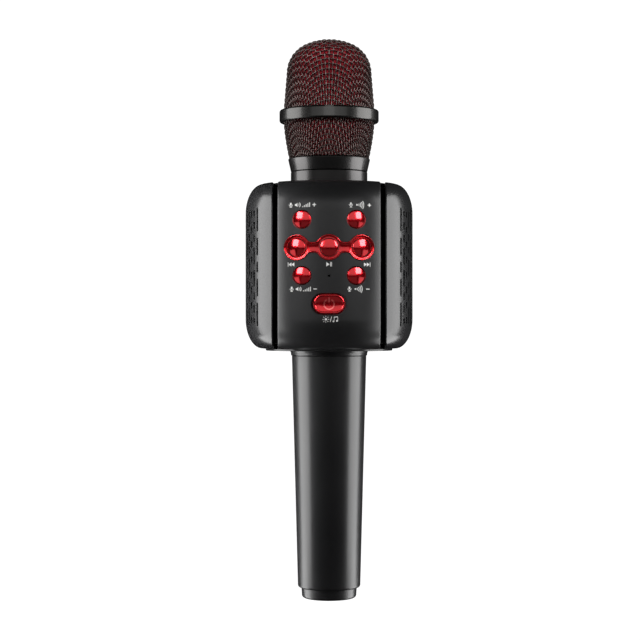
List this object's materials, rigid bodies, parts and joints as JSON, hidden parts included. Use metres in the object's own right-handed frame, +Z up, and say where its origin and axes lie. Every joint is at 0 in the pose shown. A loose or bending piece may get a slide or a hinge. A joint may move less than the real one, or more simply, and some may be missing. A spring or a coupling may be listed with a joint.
{
  "type": "karaoke microphone",
  "caption": "Handheld karaoke microphone with a speaker barrel, tapered handle and red-lined mesh head, with pressable keys and a head that lifts off.",
  "frame": {"origin": "centre of the flat base of the end cap, on the microphone's long axis", "axes": "+Z up the long axis to the mesh dome, -Y out of the key panel, +X to the right as the keys are read"},
  "size_m": [0.0802, 0.0811, 0.268],
  "materials": {
    "handle_black": "satin",
    "body_black": "satin",
    "neck_metal": "polished",
    "mesh_wire": "fine woven wire",
    "foam_red": "open-cell foam",
    "red_gloss": "glossy",
    "inner_plastic": "matte",
    "battery_sleeve": "wrapped",
    "rubber_black": "matte",
    "capsule_metal": "satin",
    "board_green": "satin",
    "chip_black": "matte",
    "led_lens": "clear",
    "screw_steel": "zinc",
    "socket_steel": "plated",
    "basket_steel": "satin",
    "magnet_ferrite": "matte",
    "cone_paper": "pressed paper",
    "dust_cloth": "fine woven",
    "lead_sleeve": "matte"
  },
  "bodies": {
    "body": {"end_cap": "handle_black", "handle_tube": "handle_black", "handle_collar": "handle_black", "battery_cell": "battery_sleeve", "battery_cradle": "inner_plastic", "bottom_cap": "body_black", "collar_screws": "screw_steel", "top_cap": "body_black", "neck_ring": "neck_metal", "capsule_stand": "inner_plastic", "capsule_cushion": "rubber_black", "capsule": "capsule_metal", "light_board": "board_green", "light_leds": "led_lens", "front_cover": "body_black", "media_bezel": "red_gloss", "key_switches": "inner_plastic", "main_board": "board_green", "board_screws": "screw_steel", "board_parts": "chip_black", "status_light_pipe": "led_lens", "rear_cover": "body_black", "rear_screws": "screw_steel", "port_board": "board_green", "port_screws": "screw_steel", "aux_socket": "inner_plastic", "charging_socket": "socket_steel", "right_cover": "body_black", "left_cover": "body_black", "right_dust_cloth": "dust_cloth", "left_dust_cloth": "dust_cloth", "barrel_frame": "inner_plastic", "left_speaker_basket": "basket_steel", "right_speaker_basket": "basket_steel", "left_speaker_magnet": "magnet_ferrite", "right_speaker_magnet": "magnet_ferrite", "left_speaker_yoke": "basket_steel", "right_speaker_yoke": "basket_steel", "left_speaker_surround": "rubber_black", "right_speaker_surround": "rubber_black", "speaker_screws": "screw_steel", "battery_lead": "lead_sleeve", "head_leads": "lead_sleeve", "speaker_leads": "lead_sleeve", "port_lead": "lead_sleeve"},
    "head": {"neck_collar": "neck_metal", "lower_mesh": "mesh_wire", "head_ring": "neck_metal", "upper_mesh": "mesh_wire", "foam_windscreen": "foam_red"},
    "mic_up_key": {"mic_up_key": "red_gloss"},
    "echo_up_key": {"echo_up_key": "red_gloss"},
    "previous_key": {"previous_key": "red_gloss"},
    "play_key": {"play_key": "red_gloss"},
    "next_key": {"next_key": "red_gloss"},
    "mic_down_key": {"mic_down_key": "red_gloss"},
    "echo_down_key": {"echo_down_key": "red_gloss"},
    "power_key": {"power_key": "red_gloss"},
    "left_speaker_cone": {"left_speaker_cone": "cone_paper"},
    "right_speaker_cone": {"right_speaker_cone": "cone_paper"}
  },
  "joints": [
    {"name": "head_lift", "type": "slide", "parent": "body", "child": "head", "axis": [0, 0, 1], "range_m": [0, 0.05]},
    {"name": "mic_up_key_press", "type": "slide", "parent": "body", "child": "mic_up_key", "axis": [0, 1, 0], "range_m": [0, 0.0006], "stiffness_N_per_m": 800},
    {"name": "echo_up_key_press", "type": "slide", "parent": "body", "child": "echo_up_key", "axis": [0, 1, 0], "range_m": [0, 0.0006], "stiffness_N_per_m": 800},
    {"name": "previous_key_press", "type": "slide", "parent": "body", "child": "previous_key", "axis": [0, 1, 0], "range_m": [0, 0.0006], "stiffness_N_per_m": 800},
    {"name": "play_key_press", "type": "slide", "parent": "body", "child": "play_key", "axis": [0, 1, 0], "range_m": [0, 0.0006], "stiffness_N_per_m": 800},
    {"name": "next_key_press", "type": "slide", "parent": "body", "child": "next_key", "axis": [0, 1, 0], "range_m": [0, 0.0006], "stiffness_N_per_m": 800},
    {"name": "mic_down_key_press", "type": "slide", "parent": "body", "child": "mic_down_key", "axis": [0, 1, 0], "range_m": [0, 0.0006], "stiffness_N_per_m": 800},
    {"name": "echo_down_key_press", "type": "slide", "parent": "body", "child": "echo_down_key", "axis": [0, 1, 0], "range_m": [0, 0.0006], "stiffness_N_per_m": 800},
    {"name": "power_key_press", "type": "slide", "parent": "body", "child": "power_key", "axis": [0, 1, 0], "range_m": [0, 0.0006], "stiffness_N_per_m": 800},
    {"name": "left_speaker_cone_stroke", "type": "slide", "parent": "body", "child": "left_speaker_cone", "axis": [-1, 0, 0], "range_m": [-0.0008, 0.0008], "stiffness_N_per_m": 1500},
    {"name": "right_speaker_cone_stroke", "type": "slide", "parent": "body", "child": "right_speaker_cone", "axis": [1, 0, 0], "range_m": [-0.0008, 0.0008], "stiffness_N_per_m": 1500}
  ]
}
